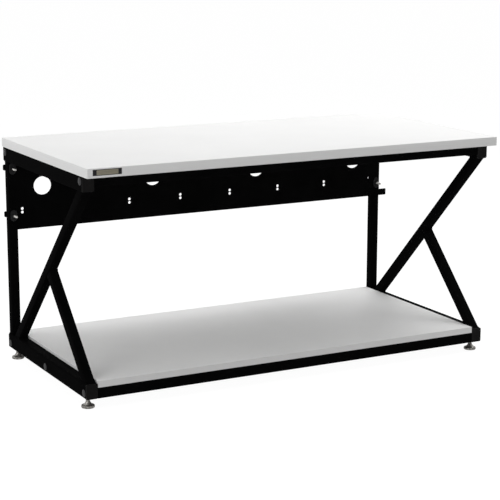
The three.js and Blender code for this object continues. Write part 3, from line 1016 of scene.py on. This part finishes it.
class TABLE_OT_weld_frame(bpy.types.Operator):
    """Runs weld beads round the ends of the posts and braces"""

    bl_idname = "table.weld_frame"
    bl_label = "Weld Frame"

    CORNER = 3 * MM
    RIPPLE = 1.5 * MM
    DIP = 0.88
    SPREAD = 0.8 * MM
    MITRE = math.radians(45)

    def execute(self, context):
        radius = context.scene.table_hardware.bead
        low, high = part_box("left_rear_post")
        self.tube = high.x - low.x
        for side in SIDES:
            beads = [self.bead(radius, *joint) for joint in self.joints(side)]
            activate(beads[0])
            for bead in beads[1:]:
                bead.select_set(True)
            bpy.ops.object.join()
            welds = smooth(named(f"{side}_weld_beads"), angle=60)
            settle(welds, coat_material(), "table", "powder_coat")
        return {"FINISHED"}

    def joints(self, side):
        """Each seam's length along Y, its middle and its tilt about X."""
        slant = self.tube * math.sqrt(2)
        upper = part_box(f"{side}_top_rail")[0].z
        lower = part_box(f"{side}_bottom_rail")[1].z
        post = middle(f"{side}_rear_post")
        long_low, long_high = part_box(f"{side}_long_brace")
        short_low, short_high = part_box(f"{side}_short_brace")
        x = post.x
        meet = Vector((x, short_high.y, short_high.z))
        return (
            (self.tube, Vector((x, post.y, upper)), 0),
            (self.tube, Vector((x, post.y, lower)), 0),
            (slant, Vector((x, long_low.y + slant / 2, upper)), 0),
            (slant, Vector((x, long_high.y - slant / 2, lower)), 0),
            (slant, Vector((x, short_low.y + slant / 2, lower)), 0),
            (self.tube, self.meeting(meet), -self.MITRE),
        )

    def meeting(self, corner):
        """Middle of the short brace's upper end, from the highest and rearmost reach of that brace."""
        half = self.tube / 2 * math.sqrt(0.5)
        return Vector((corner.x, corner.y - half, corner.z - half))

    def bead(self, radius, length, spot, tilt):
        """A rippled bead round a rectangle as wide as the tube, lying flat before its tilt."""
        clear_selection()
        bpy.ops.mesh.primitive_plane_add(size=1, location=(0, 0, 0))
        obj = named("bead")
        obj.scale = (self.tube + self.SPREAD, length + self.SPREAD, 1)
        bpy.ops.object.transform_apply(location=True, rotation=True, scale=True)
        bpy.ops.object.mode_set(mode="EDIT")
        bpy.ops.mesh.select_all(action="SELECT")
        bpy.ops.mesh.bevel(offset=self.CORNER, segments=3, affect="VERTICES")
        bpy.ops.mesh.select_all(action="SELECT")
        bpy.ops.mesh.delete(type="ONLY_FACE")
        for axis in (0, 1):
            pick(obj, "EDGE", lambda e: runs_along(axis)(e) and e.calc_length() > 2 * self.RIPPLE)
            bpy.ops.mesh.subdivide(number_cuts=int(length / self.RIPPLE))
        bpy.ops.object.mode_set(mode="OBJECT")
        bpy.ops.object.convert(target="CURVE")
        obj = bpy.context.object
        obj.data.bevel_depth = radius
        obj.data.bevel_resolution = 1
        for spline in obj.data.splines:
            for i, point in enumerate(spline.points):
                point.radius = 1.0 if i % 2 else self.DIP
        bpy.ops.object.convert(target="MESH")
        obj = bpy.context.object
        obj.data.transform(Matrix.Translation(spot) @ Matrix.Rotation(tilt, 4, "X"))
        return obj


class TABLE_OT_fit_plate(bpy.types.Operator):
    """Models the plain plate on the top's front edge"""

    bl_idname = "table.fit_plate"
    bl_label = "Fit Bare Plate"

    FROM_LEFT = 19.2 * MM
    FROM_TOP = 3.8 * MM
    CORNER = 1.2 * MM
    EDGE = 0.2 * MM
    BORDER = 0.9 * MM
    STEP = 0.15 * MM
    FIELD = (0.13, 0.88)
    FIELD_MARGIN = 2.0 * MM
    FIELD_CORNER = 0.8 * MM
    FIELD_SINK = 0.05 * MM
    FIELD_BACK = 0.2 * MM

    def execute(self, context):
        finish = context.scene.table_finish
        width, thick, height = context.scene.table_hardware.plate_size
        low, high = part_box("tabletop_edge_band")
        left, top, face = low.x + self.FROM_LEFT, high.z - self.FROM_TOP, low.y
        front, bottom = face - thick, top - height
        plate = block("bare_plate", (left, front, bottom), (left + width, face, top))
        round_edges(plate, runs_along(1), self.CORNER, segments=5)
        round_edges(plate, in_plane(1, front), self.EDGE, segments=2)
        faces_towards(plate, Vector((0, -1, 0)))
        bpy.ops.mesh.inset(thickness=self.BORDER)
        bpy.ops.mesh.inset(thickness=self.STEP, depth=-self.STEP)
        close_up(plate)
        dark = material("dark_coated_plate", brushed_sheet, finish.plate)
        settle(smooth(plate), dark, "table", "cap_plastic")
        pale = material("blank_plate_field", brushed_sheet, finish.field)
        start, stop = (left + share * width for share in self.FIELD)
        near = (start, front + self.FIELD_SINK, bottom + self.FIELD_MARGIN)
        far = (stop, face - self.FIELD_BACK, top - self.FIELD_MARGIN)
        field = block("bare_plate_field", near, far)
        round_edges(field, runs_along(1), self.FIELD_CORNER, segments=4)
        close_up(field)
        settle(smooth(field), pale, "table", "cap_plastic")
        return {"FINISHED"}


class TABLE_OT_screw_tab(bpy.types.Operator):
    """Models the socket screws that hold the side tab"""

    bl_idname = "table.screw_tab"
    bl_label = "Screw Side Tab"

    # (radius, height) from the tab's face, in millimetres
    HEAD = (
        (0, -1.5),
        (2.6, -1.5),
        (2.6, 0),
        (4.7, 0),
        (4.75, 0.3),
        (4.5, 1.0),
        (3.9, 1.8),
        (3.0, 2.4),
        (2.4, 2.6),
        (0, 2.6),
    )
    SOCKET = 3
    SOCKET_REACH = (0.8, 4)
    PLACES = (12 * MM, 38 * MM)

    def execute(self, context):
        low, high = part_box("side_tab")
        master = turned("tab_screw_master", self.HEAD, steps=40)
        bottom, top = self.SOCKET_REACH
        socket = hexagon("tab_socket", self.SOCKET, bottom, top, chamfer_low=False, chamfer_high=False)
        master = combine(master, socket, "DIFFERENCE")
        master.data.transform(Matrix.Rotation(math.pi / 2, 4, "X"))
        for i, step in enumerate(self.PLACES):
            place = Matrix.Translation((low.x + step, low.y, (low.z + high.z) / 2))
            screw = smooth(copy_of(master, f"side_tab_screw_{i + 1}", place))
            settle(screw, coat_material(), "table", "powder_coat")
        discard(master)
        return {"FINISHED"}


class TABLE_OT_set_stage(bpy.types.Operator):
    """Sets the floor, the soft light and the camera"""

    bl_idname = "table.set_stage"
    bl_label = "Set Stage"

    # Name, place, target and size of each lamp
    LAMPS = (
        ("overhead", (2.2, 0.2, 3.4), (0.3, 0, 0.2), (3, 3)),
        ("rear", (0, 1.8, 3.4), (0, 0, 0.4), (4, 2)),
        ("left", (-4.2, -1.0, 1.8), (0, 0, 0.7), (3, 3)),
        ("low", (0, 3.6, 0.7), (0, 0, 0.1), (4, 1)),
        ("front", (0, -4.6, 1.5), (0, 0, 0.5), (4, 2)),
    )
    FLOOR_SIZE = 60
    FLOOR_COLOUR = (0.8, 0.8, 0.8, 1)
    SEEN_COLOUR = (0.14, 0.14, 0.14, 1)
    SEEN_GLOW = 0.96
    WHITE = (1, 1, 1, 1)
    SENSOR = 36
    FAR = 100

    def execute(self, context):
        stage = context.scene.table_stage
        context.scene.view_settings.view_transform = "Standard"
        self.floor()
        self.sky(stage.sky)
        for name, place, target, size in self.LAMPS:
            self.lamp(name + "_light", place, target, size, getattr(stage, name))
        self.camera(stage)
        return {"FINISHED"}

    @staticmethod
    def seen_directly(tree):
        """1 for rays from the camera, and for those that metal and glass send on."""
        path = tree.nodes.new("ShaderNodeLightPath")
        total = path.outputs["Is Camera Ray"]
        for kind in ("Is Glossy Ray", "Is Transmission Ray"):
            node = tree.nodes.new("ShaderNodeMath")
            node.operation = "MAXIMUM"
            link(tree, total, node.inputs[0])
            link(tree, path.outputs[kind], node.inputs[1])
            total = node.outputs[0]
        return total

    @staticmethod
    def either(tree, choice, first, second):
        """The first shader where the choice is 0, the second where it is 1."""
        node = tree.nodes.new("ShaderNodeMixShader")
        link(tree, choice, node.inputs[0])
        link(tree, first, node.inputs[1])
        link(tree, second, node.inputs[2])
        return node.outputs[0]

    def floor(self):
        """A pale floor, lit from within where it is seen, that can be looked through from below."""
        clear_selection()
        bpy.ops.mesh.primitive_plane_add(size=self.FLOOR_SIZE)
        obj = named("floor")
        mat = bpy.data.materials.new("pale_floor")
        mat.use_nodes = True
        tree = mat.node_tree
        tree.nodes.clear()
        out = tree.nodes.new("ShaderNodeOutputMaterial")
        plain = tree.nodes.new("ShaderNodeBsdfDiffuse")
        plain.inputs["Color"].default_value = self.FLOOR_COLOUR
        soft = tree.nodes.new("ShaderNodeBsdfDiffuse")
        soft.inputs["Color"].default_value = self.SEEN_COLOUR
        glow = tree.nodes.new("ShaderNodeEmission")
        glow.inputs["Strength"].default_value = self.SEEN_GLOW
        both = tree.nodes.new("ShaderNodeAddShader")
        link(tree, soft.outputs[0], both.inputs[0])
        link(tree, glow.outputs[0], both.inputs[1])
        above = self.either(tree, self.seen_directly(tree), plain.outputs[0], both.outputs[0])
        facing = tree.nodes.new("ShaderNodeNewGeometry")
        clear = tree.nodes.new("ShaderNodeBsdfTransparent")
        one_way = self.either(tree, facing.outputs["Backfacing"], above, clear.outputs[0])
        link(tree, one_way, out.inputs["Surface"])
        obj.data.materials.append(mat)

    def sky(self, strength):
        """Even white light from all round, and plain white where it is seen."""
        world = bpy.data.worlds.new("studio")
        bpy.context.scene.world = world
        world.use_nodes = True
        tree = world.node_tree
        tree.nodes.clear()
        out = tree.nodes.new("ShaderNodeOutputWorld")
        light = tree.nodes.new("ShaderNodeBackground")
        light.inputs["Strength"].default_value = strength
        light.inputs["Color"].default_value = self.WHITE
        white = tree.nodes.new("ShaderNodeBackground")
        white.inputs["Strength"].default_value = 1.0
        white.inputs["Color"].default_value = self.WHITE
        seen = self.either(tree, self.seen_directly(tree), light.outputs[0], white.outputs[0])
        link(tree, seen, out.inputs["Surface"])

    @staticmethod
    def lamp(name, place, target, size, power):
        """An oblong light at a place, turned towards a target."""
        clear_selection()
        turn = (Vector(target) - Vector(place)).to_track_quat("-Z", "Y").to_euler()
        bpy.ops.object.light_add(type="AREA", location=place, rotation=turn)
        lamp = bpy.context.object
        lamp.name = name
        lamp.data.shape = "RECTANGLE"
        lamp.data.size, lamp.data.size_y = size
        lamp.data.energy = power

    def camera(self, stage):
        """The photo's own view: turned, tipped down and rolled at its place."""
        clear_selection()
        bpy.ops.object.camera_add()
        camera = bpy.context.object
        camera.name = "camera"
        camera.data.sensor_width = self.SENSOR
        camera.data.lens = stage.lens
        camera.data.clip_end = self.FAR
        level = Matrix.Rotation(math.pi / 2 - stage.pitch, 4, "X")
        turn = Matrix.Rotation(stage.heading, 4, "Z") @ level @ Matrix.Rotation(stage.roll, 4, "Z")
        camera.matrix_world = Matrix.Translation(stage.eye) @ turn
        bpy.context.scene.camera = camera


OPERATORS = (
    TABLE_OT_coat_frame,
    TABLE_OT_coat_panel,
    TABLE_OT_finish_boards,
    TABLE_OT_mould_caps,
    TABLE_OT_mould_plugs,
    TABLE_OT_turn_feet,
    TABLE_OT_bolt_panel,
    TABLE_OT_weld_frame,
    TABLE_OT_fit_plate,
    TABLE_OT_screw_tab,
    TABLE_OT_set_stage,
)


class TABLE_PT_sidebar(bpy.types.Panel):
    """Lists the steps that dress the table"""

    bl_idname = "TABLE_PT_sidebar"
    bl_label = "Assembly Table"
    bl_space_type = "VIEW_3D"
    bl_region_type = "UI"
    bl_category = "Table"

    def draw(self, context):
        for operator in OPERATORS:
            self.layout.operator(operator.bl_idname)
        for group in GROUPS:
            values = getattr(context.scene, group)
            for key in values.__annotations__:
                self.layout.prop(values, key)


GROUPS = {"table_finish": TableFinish, "table_hardware": TableHardware, "table_stage": TableStage}
CLASSES = (*GROUPS.values(), *OPERATORS, TABLE_PT_sidebar)


def register():
    for cls in CLASSES:
        bpy.utils.register_class(cls)
    for name, group in GROUPS.items():
        setattr(bpy.types.Scene, name, bpy.props.PointerProperty(type=group))


def unregister():
    for name in GROUPS:
        delattr(bpy.types.Scene, name)
    for cls in reversed(CLASSES):
        bpy.utils.unregister_class(cls)


def main():
    register()
    for operator in OPERATORS:
        group, step = operator.bl_idname.split(".")
        getattr(getattr(bpy.ops, group), step)()


if __name__ == "__main__":
    main()
